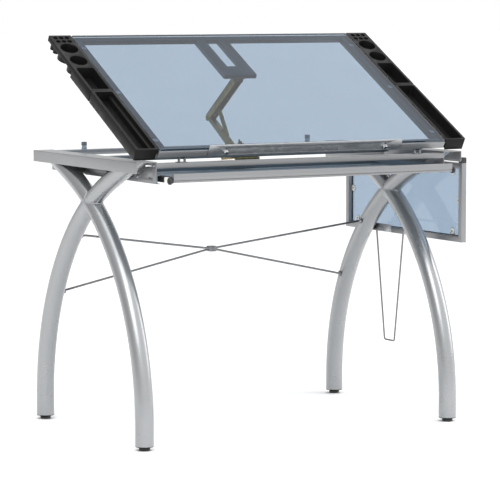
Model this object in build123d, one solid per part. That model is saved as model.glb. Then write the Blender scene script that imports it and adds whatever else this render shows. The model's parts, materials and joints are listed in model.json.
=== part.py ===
"""Drafting table with tilting glass top, side trays, low drawer and folding side shelf.

Millimetres, +X to the user's right, +Y to the back, +Z up, floor at Z = 0.
Shapes are drawn about the table's own centre plane and moved once, on export,
so that the finished table stands with the bottom centre of its bounds at the origin.
"""
import os
from math import atan2, cos, degrees, hypot, radians, sin

from build123d import *

# ---------------------------------------------------------------- driving dimensions
OUT = "parts"

# end frames
LEG_X = 484                         # centre plane of each pair of legs
LEG_Y = 36                          # where the two legs of a pair cross
LEG_R = 25                          # 50 mm tube
LEG_WALL = 1.5
FOOT_Y = 305                        # half distance between the feet of a pair
LEG_BOTTOM = 12
LEG_STRAIGHT = 60                   # height at which the bend starts
LEG_BEND = 705                      # bend radius on the centre line
LEG_SWEEP = 66                      # bend angle before the straight upper end
LEG_END = 170

# side rails, folded channels open below
RAIL_X = (453.5, 513.5)
RAIL_Y = (-287, 345)
RAIL_TOP = 767
RAIL_T = 2
RAIL_OUTER_Z = 736
RAIL_INNER_Z = 710

# cross rails
FRONT_RAIL_Z = (747.5, 762.5)
MID_RAIL_Z = (750, 765)
BACK_RAIL_Z = (752, 767)
CROSS_WALL = 1.5
FRONT_RAIL_Y = (-287, -257)
MID_RAIL_Y = (14, 44)
BACK_RAIL_Y = (292, 322)

# top
TILT = 28.8
TOP_Y = -300
TOP_Z = 800
GLASS = (902, 603, 5)
GLASS_GAP = 1.5
FRONT_TUBE_H = 20
TUBE_H = 15
TUBE_W = 20
SIDE_TUBE_W = 27
HINGE_V = 12                        # hinge axis, along the slope
HINGE_H = -33                       # hinge axis, square to the glass
HINGE_X = 372

# prop linkage, YZ positions with the top raised
PROP_X = -10
PROP_TOP = (65.87, 964.63)
PROP_ELBOW = (221.14, 851.45)
PROP_FOOT = (63.36, 755.56)
PROP_FOOT_FLAT = (109.0, 747.5)     # where the foot pin ends with the top flat
PIN_R = 4
RUN = 0.08                          # running clearance on a radius

# side shelf, hanging
SHELF_X = (531.5, 547.5)
SHELF_Y = (-263, 353)
SHELF_Z = (505, 730)
SHELF_BAR = 16
SHELF_AXIS = (522, 743)             # XZ of the hinge axis
SHELF_HINGE_Y = (-150, 240)
BAIL_R = 2.5
BAIL_AXIS = (526.5, 512)            # XZ of the bail's pivot
BAIL_Y = (28, 172)
BAIL_FOOT_Y = (74, 126)
BAIL_FOOT_Z = 186

# drawer
DRAWER_X = 438
DRAWER_FRONT_Y = -353
DRAWER_BACK_Y = 45
WHEEL_R = 9.3
WHEEL_C = (-344, 719)               # YZ of the front wheels
TRACK_END = 140

# trays, measured from the right-hand side tube
TRAY_X = (451.8, 519.8)
TRAY_MID_X = 486
TRAY_WALL = 2
TRAY_SKIRT = 14
TRAY_DEEP = 36
TRAY_SIDE = 33                      # depth of the outer wall beside the bin and pocket
BIN_DEEP = 31
CUP_R = 25
PENCIL_R = 6.5

# from the table's centre plane to the middle of its bounds
CENTRE_X = (SHELF_X[1] - TRAY_X[1]) / 2
CENTRE_Y = (WHEEL_C[0] - WHEEL_R + LEG_Y + FOOT_Y + LEG_R) / 2


# ---------------------------------------------------------------- helpers
def block(x, y, z):
    """Box from three (low, high) pairs."""
    size = [b - a for a, b in (x, y, z)]
    mid = [(a + b) / 2 for a, b in (x, y, z)]
    return Pos(*mid) * Box(*size)


def rod(start, end, radius):
    """Cylinder between two points."""
    a = Vector(*start)
    b = Vector(*end)
    return Solid.make_cylinder(radius, (b - a).length, Plane(origin=a, z_dir=b - a))


def profile_x(points, x):
    """YZ polygon extruded between two X positions."""
    face = Plane.YZ.offset(x[0]) * Polygon(*points, align=None)
    return extrude(face, amount=x[1] - x[0], dir=(1, 0, 0))


def profile_y(points, y):
    """XZ polygon extruded between two Y positions."""
    plane = Plane(origin=(0, y[0], 0), x_dir=(1, 0, 0), z_dir=(0, -1, 0))
    return extrude(plane * Polygon(*points, align=None), amount=y[1] - y[0], dir=(0, 1, 0))


def on_line(start, end, along, across):
    """YZ point measured along a line and square to it (positive to its left)."""
    length = hypot(end[0] - start[0], end[1] - start[1])
    u = ((end[0] - start[0]) / length, (end[1] - start[1]) / length)
    return (start[0] + u[0] * along - u[1] * across, start[1] + u[1] * along + u[0] * across)


def strap(start, end, radius, x):
    """Flat link with round ends between two YZ points."""
    length = hypot(end[0] - start[0], end[1] - start[1])
    corners = [(0, -radius), (length, -radius), (length, radius), (0, radius)]
    body = profile_x([on_line(start, end, *c) for c in corners], x)
    for y, z in (start, end):
        body += rod((x[0], y, z), (x[1], y, z), radius)
    return body


def tube(x, y, z, wall, axis):
    """Square tube open at both ends along one axis."""
    spans = [x, y, z]
    inner = [(a + wall, b - wall) for a, b in spans]
    inner[axis] = (spans[axis][0] - 1, spans[axis][1] + 1)
    return block(*spans) - block(*inner)


def closed_tube(x, y, z, wall, end):
    """Square tube along X with plates of the given thickness closing its ends."""
    inner = [(x[0] + end, x[1] - end), (y[0] + wall, y[1] - wall), (z[0] + wall, z[1] - wall)]
    return block(x, y, z) - block(*inner)


def mirrored(shape):
    return shape.mirror(Plane.YZ)


TOP = Pos(0, TOP_Y, TOP_Z) * Rot(TILT, 0, 0)


def top_yz(v, h):
    """YZ of a point given along the slope and square to the glass."""
    a = radians(TILT)
    return (TOP_Y + v * cos(a) - h * sin(a), TOP_Z + v * sin(a) + h * cos(a))


def top_local(y, z):
    """Inverse of top_yz."""
    a = radians(TILT)
    dy, dz = y - TOP_Y, z - TOP_Z
    return (dy * cos(a) + dz * sin(a), -dy * sin(a) + dz * cos(a))


NODES = {}


def node(name, *shapes):
    NODES[name] = list(shapes)


# ---------------------------------------------------------------- end frames
def leg_point(z, side):
    """Centre-line Y of a leg below the end of its bend; side is +1 for a rear foot."""
    rise = max(0, z - LEG_STRAIGHT)
    return LEG_Y + side * (FOOT_Y - LEG_BEND + (LEG_BEND ** 2 - rise ** 2) ** 0.5)


def leg_solid(radius, side, bottom):
    """Full-round bent leg on the centre plane X = LEG_X, before trimming."""
    foot = LEG_Y + side * FOOT_Y

    def bend(angle):
        a = radians(angle)
        return (LEG_X, foot - side * LEG_BEND * (1 - cos(a)), LEG_STRAIGHT + LEG_BEND * sin(a))

    start = (LEG_X, foot, bottom)
    turn = bend(0)
    last = bend(LEG_SWEEP)
    a = radians(LEG_SWEEP)
    tip = (LEG_X, last[1] - side * LEG_END * sin(a), last[2] + LEG_END * cos(a))
    path = Wire([
        Edge.make_line(start, turn),
        Edge.make_three_point_arc(turn, bend(LEG_SWEEP / 2), last),
        Edge.make_line(last, tip),
    ])
    return sweep(Plane(origin=start, z_dir=(0, 0, 1)) * Circle(radius), path=path)


ABOVE = block((0, 1000), (-1000, 1000), (RAIL_TOP - RAIL_T, 1200))


def leg_tube(side):
    outer = leg_solid(LEG_R, side, LEG_BOTTOM)
    return outer - leg_solid(LEG_R - LEG_WALL, side, LEG_BOTTOM - 1) - ABOVE


BRACE_HIGH_Z = 539
BRACE_LOW_Z = 372
CATCH_BOLT_Z = 519


def end_frame():
    """Through leg, and the coped leg's lower and upper lengths, on the right."""
    through = leg_tube(-1)
    coped = leg_tube(1) - leg_solid(LEG_R, -1, LEG_BOTTOM)
    pieces = sorted(coped.solids(), key=lambda s: s.volume)[-2:]
    lower, upper = sorted(pieces, key=lambda s: s.center().Z)
    for z in (BRACE_HIGH_Z, BRACE_LOW_Z):
        y = leg_point(z, 1)
        lower = lower - rod((LEG_X - LEG_R - 5, y, z), (LEG_X - LEG_R + 12, y, z), 3)
    return through, lower, upper


THROUGH, LOWER, UPPER = end_frame()
CATCH_Y = leg_point(CATCH_BOLT_Z, 1)
CATCH_HOLE = rod((LEG_X + 10, CATCH_Y, CATCH_BOLT_Z), (LEG_X + 30, CATCH_Y, CATCH_BOLT_Z), 3)
node("leg_right_through", THROUGH)
node("leg_right_lower", LOWER - CATCH_HOLE)
node("leg_right_upper", UPPER)
node("leg_left_through", mirrored(THROUGH))
node("leg_left_lower", mirrored(LOWER))
node("leg_left_upper", mirrored(UPPER))

FEET = {
    "front_left": (-LEG_X, LEG_Y - FOOT_Y),
    "front_right": (LEG_X, LEG_Y - FOOT_Y),
    "rear_left": (-LEG_X, LEG_Y + FOOT_Y),
    "rear_right": (LEG_X, LEG_Y + FOOT_Y),
}
STUD_R = 4


def leg_cap(x, y):
    flange = rod((x, y, LEG_BOTTOM - 2), (x, y, LEG_BOTTOM), LEG_R)
    spigot = rod((x, y, LEG_BOTTOM), (x, y, LEG_BOTTOM + 16), LEG_R - LEG_WALL - 0.1)
    return flange + spigot - rod((x, y, 0), (x, y, 40), STUD_R + RUN)


def leveler(x, y):
    pad = rod((x, y, 0), (x, y, 8), 15)
    pad = chamfer(pad.edges().filter_by(GeomType.CIRCLE), 1)
    neck = rod((x, y, 7.5), (x, y, 9.6), 10)
    return pad + neck + rod((x, y, 7.5), (x, y, 52), STUD_R)


node("leg_caps", *[leg_cap(*p) for p in FEET.values()])
for place, (foot_x, foot_y) in FEET.items():
    node("leveler_" + place, leveler(foot_x, foot_y))


# ---------------------------------------------------------------- side rails
SLOTS = [((-262, -222), 753), ((-266, -244), 722)]      # Y span and height of each slot
TRACK_BOLTS = [(-180, 723), (4, 722)]
CROSS_BOLT_Z = 757
CROSS_MIDS = [sum(span) / 2 for span in (FRONT_RAIL_Y, MID_RAIL_Y, BACK_RAIL_Y)]


def side_rail():
    x0, x1 = RAIL_X
    t = RAIL_T
    points = [
        (x0, RAIL_INNER_Z), (x0, RAIL_TOP), (x1, RAIL_TOP), (x1, RAIL_OUTER_Z),
        (x1 - t, RAIL_OUTER_Z), (x1 - t, RAIL_TOP - t), (x0 + t, RAIL_TOP - t),
        (x0 + t, RAIL_INNER_Z),
    ]
    body = profile_y(points, RAIL_Y)
    long_edges = body.edges().filter_by(Axis.Y)
    outer = [e for e in long_edges if e.center().Z > RAIL_TOP - 0.1]
    body = fillet(outer, 1.8)
    corner = [
        e for e in body.edges().filter_by(Axis.X)
        if abs(e.center().Y - RAIL_Y[0]) < 0.1 and e.center().Z < RAIL_OUTER_Z + 0.1
    ]
    body = fillet(corner, 6)
    for (y0, y1), z in SLOTS:
        body -= strap((y0 + 2.5, z), (y1 - 2.5, z), 2.5, (x0 - 1, x0 + t + 1))
    for y, z in TRACK_BOLTS:
        body -= rod((x0 - 1, y, z), (x0 + t + 1, y, z), 2.5)
    for y in CROSS_MIDS:
        body -= rod((x0 - 1, y, CROSS_BOLT_Z), (x0 + t + 1, y, CROSS_BOLT_Z), 3)
    return body


RAIL = side_rail()
node("rail_right", RAIL)
node("rail_left", mirrored(RAIL))


# ---------------------------------------------------------------- cross rails and their bolts
END_PLATE = 3
FRAME_X = (-RAIL_X[0], RAIL_X[0])


def cross_rail(y, z):
    body = closed_tube(FRAME_X, y, z, CROSS_WALL, END_PLATE)
    mid = sum(y) / 2
    for sign in (-1, 1):
        x = sign * RAIL_X[0]
        body -= rod((x - sign * 10, mid, CROSS_BOLT_Z), (x + sign, mid, CROSS_BOLT_Z), 3)
    return body


def bolt(point, sign, shaft_r, length, head_r, head):
    """Bolt along X; the point is under its head, sign is the way the head faces."""
    x, y, z = point
    shaft = rod((x - sign * length, y, z), (x, y, z), shaft_r)
    return shaft + rod((x, y, z), (x + sign * head, y, z), head_r)


PEG_X = 370
PEG_Y = 313
PEG_R = 8
PEG_TOP = 788


def rest_peg(x):
    body = rod((x, PEG_Y, BACK_RAIL_Z[1]), (x, PEG_Y, PEG_TOP), PEG_R)
    rim = [e for e in body.edges().filter_by(GeomType.CIRCLE) if e.center().Z > PEG_TOP - 1]
    return fillet(rim, 1.5)


node("rail_front", cross_rail(FRONT_RAIL_Y, FRONT_RAIL_Z))
node("rail_middle", cross_rail(MID_RAIL_Y, MID_RAIL_Z))
node("rail_rear", cross_rail(BACK_RAIL_Y, BACK_RAIL_Z))
FLANGE_FACE = RAIL_X[0] + RAIL_T
CROSS_BOLTS = [
    bolt((sign * FLANGE_FACE, y, CROSS_BOLT_Z), sign, 3, 8, 5, 2.5)
    for sign in (-1, 1) for y in CROSS_MIDS
]
TRACK_SCREWS = [
    bolt((sign * FLANGE_FACE, y, z), sign, 2.5, 3.6, 5, 3)
    for sign in (-1, 1) for y, z in TRACK_BOLTS
]
node("frame_bolts", *CROSS_BOLTS, *TRACK_SCREWS)
node("rest_pegs", rest_peg(-PEG_X), rest_peg(PEG_X))


# ---------------------------------------------------------------- brace rods
BRACE_R = 3
BRACE_X = LEG_X - LEG_R - 3          # inner face of the tabs
BRACE_PASS = 3.8                     # sideways offset that lets the rods pass
BRACE_MID = (235, 472)               # YZ of the clamp where the rods cross


def brace(sign, offset):
    """Rod from the upper bolt on one side (sign), through the clamp, to the other side."""
    high = (sign * (BRACE_X + 1.5), leg_point(BRACE_HIGH_Z, 1), BRACE_HIGH_Z)
    low = (-sign * (BRACE_X + 1.5), leg_point(BRACE_LOW_Z, 1), BRACE_LOW_Z)
    middle = (0, BRACE_MID[0] + offset, BRACE_MID[1])
    body = Pos(*middle) * Sphere(BRACE_R)
    for x, y, z in (high, low):
        body += rod((x, y + offset, z), middle, BRACE_R)
    for x, y, z in (high, low):
        body += rod((x - 1.5, y, z), (x + 1.5, y, z), 8)
    keep = block((-BRACE_X - 3, BRACE_X + 3), (0, 500), (200, 700))
    body = body & keep
    for x, y, z in (high, low):
        body -= rod((x - 9, y, z), (x + 9, y, z), 3)
        inward = -1 if x > 0 else 1
        body -= rod((x + inward * 1.5, y, z), (x + inward * 9, y, z), 6)
    return body


BRACE_A = brace(-1, -BRACE_PASS)
BRACE_B = brace(1, BRACE_PASS)
BRACE_CLAMP = Pos(0, *BRACE_MID) * Box(26, 19, 16) - BRACE_A - BRACE_B
node("brace_rods", BRACE_A, BRACE_B)
BRACE_BOLTS = [
    bolt((sign * BRACE_X, leg_point(z, 1), z), -sign, 3, 12, 5.5, 3.5)
    for sign in (-1, 1) for z in (BRACE_HIGH_Z, BRACE_LOW_Z)
]
CATCH_BOLT = bolt((LEG_X + LEG_R + 2.5, CATCH_Y, CATCH_BOLT_Z), 1, 3, 12, 5.5, 3.5)
node("leg_bolts", *BRACE_BOLTS, CATCH_BOLT, BRACE_CLAMP)


# ---------------------------------------------------------------- drawer
BAR_Y = (DRAWER_FRONT_Y, DRAWER_FRONT_Y + 12)
BAR_Z = (714.5, 737.5)
PAN_Z = (715, 731)
PAN_T = 1.2
PAN_X = DRAWER_X - 2
RUNNER_X = (DRAWER_X - 2, DRAWER_X + 3)
RUNNER_Z = (713, 729)
AXLE_R = 3
BACK_WHEEL = (30, 719)
BACK_WHEEL_R = 9


def drawer_bar():
    y0, y1 = BAR_Y
    points = [
        (y0, 721.5), (y0, BAR_Z[1]), (y1, BAR_Z[1]), (y1, BAR_Z[0]), (y0 + 1, BAR_Z[0]),
        (y0 + 1, 719), (y0 + 4, 719), (y0 + 4, 721.5),
    ]
    return profile_x(points, (-DRAWER_X, DRAWER_X))


def drawer_pan():
    outer = block((-PAN_X, PAN_X), (BAR_Y[1], DRAWER_BACK_Y), PAN_Z)
    inside = block(
        (-PAN_X + PAN_T, PAN_X - PAN_T), (BAR_Y[1] - 1, DRAWER_BACK_Y - PAN_T),
        (PAN_Z[0] + PAN_T, PAN_Z[1] + 1))
    return outer - inside


def runner():
    """Black runner bar with stub axles; built on the right."""
    bar = block(RUNNER_X, (BAR_Y[1], DRAWER_BACK_Y - 2), RUNNER_Z)
    nose = block((DRAWER_X, RUNNER_X[1]), (WHEEL_C[0] - 4, BAR_Y[1]), (RUNNER_Z[0], RUNNER_Z[1] - 4))
    body = bar + nose
    for (y, z), reach in ((WHEEL_C, 9.2), (BACK_WHEEL, 10.2)):
        body += rod((RUNNER_X[1] - 1, y, z), (RUNNER_X[1] + reach, y, z), AXLE_R)
    return body


def wheel(centre, radius, x):
    y, z = centre
    body = rod((x[0], y, z), (x[1], y, z), radius)
    rims = body.edges().filter_by(GeomType.CIRCLE)
    body = fillet(rims, 1)
    return body - rod((x[0] - 1, y, z), (x[1] + 1, y, z), AXLE_R + RUN)


def stop_block():
    body = block((RUNNER_X[1], RUNNER_X[1] + 8), (-333, -319), (713.5, 728.5))
    return fillet(body.edges().filter_by(Axis.Y), 2)


def track():
    x0, x1 = RUNNER_X[1] + 3, RAIL_X[0]
    points = [
        (x0, 708), (x1, 708), (x1, 731.5), (x0, 731.5), (x0, 730), (x1 - 1.8, 730),
        (x1 - 1.8, 709.3), (x0, 709.3),
    ]
    body = profile_y(points, (RAIL_Y[0], TRACK_END))
    for y, z in TRACK_BOLTS:
        body -= rod((x1 - 4, y, z), (x1 + 1, y, z), 2.5)
    return body


FRONT_WHEEL_X = (RUNNER_X[1] + 1, RUNNER_X[1] + 8)
BACK_WHEEL_X = (RUNNER_X[1] + 3.5, RUNNER_X[1] + 9.5)
RUNNER = runner()
STOP = stop_block()
TRACK = track()
WHEEL = wheel(WHEEL_C, WHEEL_R, FRONT_WHEEL_X)
ROLLER = wheel(BACK_WHEEL, BACK_WHEEL_R, BACK_WHEEL_X)
node("drawer_front", drawer_bar())
node("drawer_pan", drawer_pan())
node("drawer_runners", RUNNER, mirrored(RUNNER))
node("drawer_stops", STOP, mirrored(STOP))
node("drawer_wheels", WHEEL, mirrored(WHEEL))
node("drawer_rollers", ROLLER, mirrored(ROLLER))
node("drawer_tracks", TRACK, mirrored(TRACK))


# ---------------------------------------------------------------- top frame and glass
HALF = GLASS[0] / 2
DEPTH = GLASS[1]
TUBE_TOP = -GLASS[2] - GLASS_GAP
TUBE_H_SPAN = (TUBE_TOP - TUBE_H, TUBE_TOP)
FRONT_TUBE_H_SPAN = (TUBE_TOP - FRONT_TUBE_H, TUBE_TOP)
SCREW_X = 251
SCREW_H = -14
SCREW_R = 3
PAD_V = (54, 300, 540)
PAD_X = HALF - SIDE_TUBE_W / 2

front_tube = closed_tube((-HALF, HALF), (0, TUBE_W), FRONT_TUBE_H_SPAN, 1.5, 2)
for screw_x in (-SCREW_X, SCREW_X):
    front_tube -= rod((screw_x, -1, SCREW_H), (screw_x, 5, SCREW_H), SCREW_R)
rear_tube = closed_tube((-HALF, HALF), (DEPTH - TUBE_W, DEPTH), TUBE_H_SPAN, 1.5, 2)
side_tube = tube((HALF - SIDE_TUBE_W, HALF), (TUBE_W, DEPTH - TUBE_W), TUBE_H_SPAN, 1.5, 1)
glass = block((-HALF, HALF), (0, DEPTH), (-GLASS[2], 0))
glass = fillet(glass.edges().filter_by(Axis.Z), 6)
glass = chamfer(glass.faces().sort_by(Axis.Z)[-1].edges(), 0.6)
pads = [
    rod((sign * PAD_X, v, TUBE_TOP), (sign * PAD_X, v, -GLASS[2]), 8)
    for sign in (-1, 1) for v in PAD_V
]
node("top_tube_front", TOP * front_tube)
node("top_tube_rear", TOP * rear_tube)
node("top_tube_right", TOP * side_tube)
node("top_tube_left", TOP * mirrored(side_tube))
node("top_glass", TOP * glass)
node("glass_pads", *[TOP * pad for pad in pads])

# lift bracket: U of flat tube welded to the rear tube
BRACKET_HALF = 52
BRACKET_X = -12
BRACKET_ARM = 32
BRACKET_V = (386, DEPTH - TUBE_W)
BRACKET_BAR = 49
BRACKET_H = (-20, -8)


def lift_bracket():
    x0, x1 = BRACKET_X - BRACKET_HALF, BRACKET_X + BRACKET_HALF
    v0, v1 = BRACKET_V
    h0, h1 = BRACKET_H
    w = 1.5
    body = block((x0, x1), (v0, v1), (h0, h1))
    body -= block((x0 + BRACKET_ARM, x1 - BRACKET_ARM), (v0 + BRACKET_BAR, v1 + 1), (h0 - 1, h1 + 1))
    body -= block((x0 + w, x1 - w), (v0 + w, v0 + BRACKET_BAR - w), (h0 + w, h1 - w))
    for a, b in ((x0, x0 + BRACKET_ARM), (x1 - BRACKET_ARM, x1)):
        body -= block((a + w, b - w), (v0 + BRACKET_BAR - w - 1, v1 + 1), (h0 + w, h1 - w))
    return body


def prop_x(inner, outer):
    """The two X spans either side of the prop's centre plane."""
    return [(PROP_X + inner, PROP_X + outer), (PROP_X - outer, PROP_X - inner)]


TOP_PIN = top_local(*PROP_TOP)
EAR_IN = 12.5
EAR_OUT = 14.5


def lift_clevis():
    v, h = TOP_PIN
    flange_h = BRACKET_H[0] - 2
    plate = (PROP_X - EAR_OUT, PROP_X + EAR_OUT)
    body = block(plate, (BRACKET_V[0], BRACKET_V[0] + 28), (flange_h, BRACKET_H[0]))
    for span in prop_x(EAR_IN, EAR_OUT):
        ear = strap((v, h), (v, flange_h + 1), 8, span)
        body += ear - block((-500, 500), (0, 900), (flange_h + 2, 100))
    return body - rod((PROP_X - 30, v, h), (PROP_X + 30, v, h), PIN_R)


def pin_x(y, z, reach, radius, head_r, head):
    """Headed pin along X through the prop."""
    body = rod((PROP_X - reach, y, z), (PROP_X + reach, y, z), radius)
    for sign in (-1, 1):
        a = PROP_X + sign * reach
        body += rod((a, y, z), (a + sign * head, y, z), head_r)
    return body


node("lift_bracket", TOP * lift_bracket())
node("lift_clevis", TOP * lift_clevis())
node("prop_top_pin", TOP * pin_x(TOP_PIN[0], TOP_PIN[1], EAR_OUT + 0.3, PIN_R, 6.5, 2))

# hinges between front rail and top
HINGE_YZ = top_yz(HINGE_V, HINGE_H)
KNUCKLE_R = 4.2
HINGE_PIN_R = 2.5


def hinge_base(x):
    y, z = HINGE_YZ
    seat = FRONT_RAIL_Z[1]
    body = block((x - 12, x + 12), (-285, -259), (seat, seat + 1.4))
    for a, b in ((-11, -6.3), (6.3, 11)):
        body += block((x + a, x + b), (y - 3, y + 3), (seat + 1, z))
        body += rod((x + a, y, z), (x + b, y, z), KNUCKLE_R)
    return body + rod((x - 12.5, y, z), (x + 12.5, y, z), HINGE_PIN_R)


def hinge_top(x):
    h = FRONT_TUBE_H_SPAN[0]
    body = block((x - 11, x + 11), (1, 19), (h - 1.5, h))
    body += block((x - 6, x + 6), (HINGE_V - 3, HINGE_V + 3), (HINGE_H, h - 1))
    body += rod((x - 6, HINGE_V, HINGE_H), (x + 6, HINGE_V, HINGE_H), KNUCKLE_R)
    bore = rod((x - 7, HINGE_V, HINGE_H), (x + 7, HINGE_V, HINGE_H), HINGE_PIN_R + RUN)
    return body - bore


node("hinge_base", hinge_base(-HINGE_X), hinge_base(HINGE_X))
node("hinge_top", TOP * hinge_top(-HINGE_X), TOP * hinge_top(HINGE_X))

# pencil ledge
LEDGE_X = 305
LEDGE_V = (-2.7, -0.7)
LEDGE_H = (-24, 9)
LEDGE_SLOT = (-18, -4)


def pencil_ledge():
    body = block((-LEDGE_X, LEDGE_X), LEDGE_V, LEDGE_H)
    body = fillet(body.edges().filter_by(Axis.Y), 3)
    for x in (-SCREW_X, SCREW_X):
        slot = block((x - 3.4, x + 3.4), (-4, 1), LEDGE_SLOT)
        for h in LEDGE_SLOT:
            slot += rod((x, -4, h), (x, 1, h), 3.4)
        body -= slot
    return body


def ledge_screw(x):
    body = rod((x, -8.5, SCREW_H), (x, 8, SCREW_H), SCREW_R)
    body += rod((x, -3.6, SCREW_H), (x, -2.9, SCREW_H), 8)
    head = rod((x, -8.5, SCREW_H), (x, -3.6, SCREW_H), 6.5)
    head = chamfer(head.edges().filter_by(GeomType.CIRCLE).sort_by(Axis.Y)[0], 1)
    return body + head


node("pencil_ledge", TOP * pencil_ledge())
node("ledge_screws", TOP * ledge_screw(-SCREW_X), TOP * ledge_screw(SCREW_X))


# ---------------------------------------------------------------- trays
SEAM_V = 303
WELLS_V = (560.5, 604)
REAR_TRAY_V = (SEAM_V + 0.5, WELLS_V[0])
FRONT_TRAY_V = (2, SEAM_V - 0.5)
PENCIL_V = (590, 570.5)
PENCIL_PITCH = 17.5
CUP_V = (532, 466)
POCKET_V = (313, 425)
POCKET_HALF = 26
POCKET_END_V = 431                  # where the deep outer wall stops
RIM = 2.2                           # overhang of the rim on the glass side
DEEP_INSET = 6.2                    # clears the strip the tray hangs on
CORNER_R = 4


def shell(v):
    """Rim plate with a shallow skirt all round, open below."""
    x0, x1 = TRAY_X
    w = TRAY_WALL
    body = block((x0, x1), v, (-w, 0)) + block((x0 + RIM, x1), v, (-TRAY_SKIRT, 0))
    return body - block((x0 + RIM + w, x1 - w), (v[0] + w, v[1] - w), (-TRAY_SKIRT - 1, -w))


def deep_side(v):
    """Deep outer wall and ends beside a bin or pocket."""
    x0, x1 = TRAY_X
    w = TRAY_WALL
    wall = block((x0 + DEEP_INSET, x1), v, (-TRAY_SIDE, -1))
    return wall - block((x0, x1 - w), (v[0] + w, v[1] - w), (-TRAY_SIDE - 1, -w))


def round_corner(body, v):
    """Rounds the outer upright corner of a tray at one end."""
    corner = [
        e for e in body.edges().filter_by(Axis.Z)
        if e.center().X > TRAY_X[1] - 0.1 and abs(e.center().Y - v) < 0.1
    ]
    return fillet(corner, CORNER_R)


def well(x, v, deep, wall):
    """Rectangular well: outer body and inner cut."""
    outer = block((x[0] - wall, x[1] + wall), (v[0] - wall, v[1] + wall), (-deep, -0.5))
    inner = block(x, v, (-deep + wall, 1))
    outer = fillet(outer.edges().filter_by(Axis.Z), 7)
    inner = fillet(inner.edges().filter_by(Axis.Z), 5)
    return outer, inner


def rear_tray():
    """Cups and pocket, up to the pencil wells."""
    body = shell(REAR_TRAY_V) + deep_side((REAR_TRAY_V[0], POCKET_END_V))
    body = round_corner(body, REAR_TRAY_V[0])
    outer, inner = well(
        (TRAY_MID_X - POCKET_HALF, TRAY_MID_X + POCKET_HALF), POCKET_V, TRAY_DEEP, TRAY_WALL)
    body += outer
    for v in CUP_V:
        body += rod((TRAY_MID_X, v, -TRAY_DEEP), (TRAY_MID_X, v, -0.5), CUP_R + TRAY_WALL)
    for v in CUP_V:
        body -= rod((TRAY_MID_X, v, -TRAY_DEEP + TRAY_WALL), (TRAY_MID_X, v, 1), CUP_R)
    return body - inner


def pencil_wells():
    """Rear end of the tray: six tiles side by side, each with one round well."""
    ends = round_corner(shell((WELLS_V[0] - 3 * TRAY_WALL, WELLS_V[1])), WELLS_V[1])
    x_edges = (TRAY_X[0], TRAY_MID_X - PENCIL_PITCH / 2, TRAY_MID_X + PENCIL_PITCH / 2, TRAY_X[1])
    v_edges = (WELLS_V[0], sum(PENCIL_V) / 2, WELLS_V[1])
    tiles = []
    for row, v in enumerate(reversed(PENCIL_V)):
        for column in range(3):
            x = TRAY_MID_X + (column - 1) * PENCIL_PITCH
            reach = (-TRAY_DEEP - 1, 1)
            tile = ends & block(x_edges[column:column + 2], v_edges[row:row + 2], reach)
            tile += rod((x, v, -TRAY_DEEP), (x, v, -0.5), PENCIL_R + TRAY_WALL)
            tiles.append(tile - rod((x, v, -TRAY_DEEP + TRAY_WALL), (x, v, 1), PENCIL_R))
    return tiles


def front_tray():
    body = shell(FRONT_TRAY_V) + deep_side(FRONT_TRAY_V)
    for v in FRONT_TRAY_V:
        body = round_corner(body, v)
    x = (TRAY_MID_X - POCKET_HALF, TRAY_MID_X + POCKET_HALF)
    v = (FRONT_TRAY_V[0] + 6, FRONT_TRAY_V[1] - 6)
    outer, inner = well(x, v, BIN_DEEP, TRAY_WALL)
    body = body + outer - inner
    step = block((x[0] - 0.5, x[0] + 9), (v[0] + 4, v[1] - 4), (-BIN_DEEP + 1, -12))
    return body + step


REAR_TRAY = rear_tray()
FRONT_TRAY = front_tray()
PENCIL_WELLS = pencil_wells()
node("tray_rear_right", TOP * REAR_TRAY)
node("tray_front_right", TOP * FRONT_TRAY)
node("tray_wells_right", *[TOP * tile for tile in PENCIL_WELLS])
node("tray_rear_left", TOP * mirrored(REAR_TRAY))
node("tray_front_left", TOP * mirrored(FRONT_TRAY))
node("tray_wells_left", *[TOP * mirrored(tile) for tile in PENCIL_WELLS])


def tray_strip():
    """Angle strip on the side tube that the trays hang on."""
    wall = block((HALF, HALF + 2), (TUBE_W, DEPTH - TUBE_W), (TUBE_H_SPAN[0], -TRAY_WALL - 0.2))
    shelf = block((HALF, HALF + 6), (TUBE_W, DEPTH - TUBE_W), (-TRAY_SKIRT - 1.8, -TRAY_SKIRT - 0.3))
    return wall + shelf


STRIP = tray_strip()
node("tray_strips", TOP * STRIP, TOP * mirrored(STRIP))


# ---------------------------------------------------------------- prop
ARM_IN = 10
ARM_OUT = 12
ARM_R = 9
WEB = (9, 11)
BAR_HALF = 7.5
STAY_AT = (136, 4)                  # stay pivot, along and across the upper arm
STAY_PIN_R = 2.5
STAY_ANGLE = -87.2                  # from the upper arm's own line
STAY_LENGTH = 98
UPPER_LENGTH = hypot(PROP_ELBOW[0] - PROP_TOP[0], PROP_ELBOW[1] - PROP_TOP[1])
RACK = [
    (15, -7), (105, -7), (105, 7), (98, 19), (65, 24), (60, 13), (52, 18), (50, 12),
    (42, 17), (40, 11), (32, 16), (30, 10), (15, 7),
]


def arm_yz(along, across):
    return on_line(PROP_TOP, PROP_ELBOW, along, across)


def through(y, z, radius, reach=40):
    return rod((PROP_X - reach, y, z), (PROP_X + reach, y, z), radius)


def upper_arm():
    plate = [arm_yz(s, t) for s, t in ((5, 0), (UPPER_LENGTH, 0), (UPPER_LENGTH, WEB[1]), (5, WEB[1]))]
    web = [arm_yz(s, t) for s, t in (
        (5, WEB[0]), (UPPER_LENGTH, WEB[0]), (UPPER_LENGTH, WEB[1]), (5, WEB[1]))]
    body = profile_x(web, (PROP_X - ARM_OUT, PROP_X + ARM_OUT))
    for span in prop_x(ARM_IN, ARM_OUT):
        body += strap(PROP_TOP, PROP_ELBOW, ARM_R, span)
        body += profile_x(plate, span)
    for y, z in (PROP_TOP, PROP_ELBOW):
        body -= through(y, z, PIN_R + RUN)
    return body + through(*arm_yz(*STAY_AT), STAY_PIN_R, ARM_OUT + 0.8)


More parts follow.
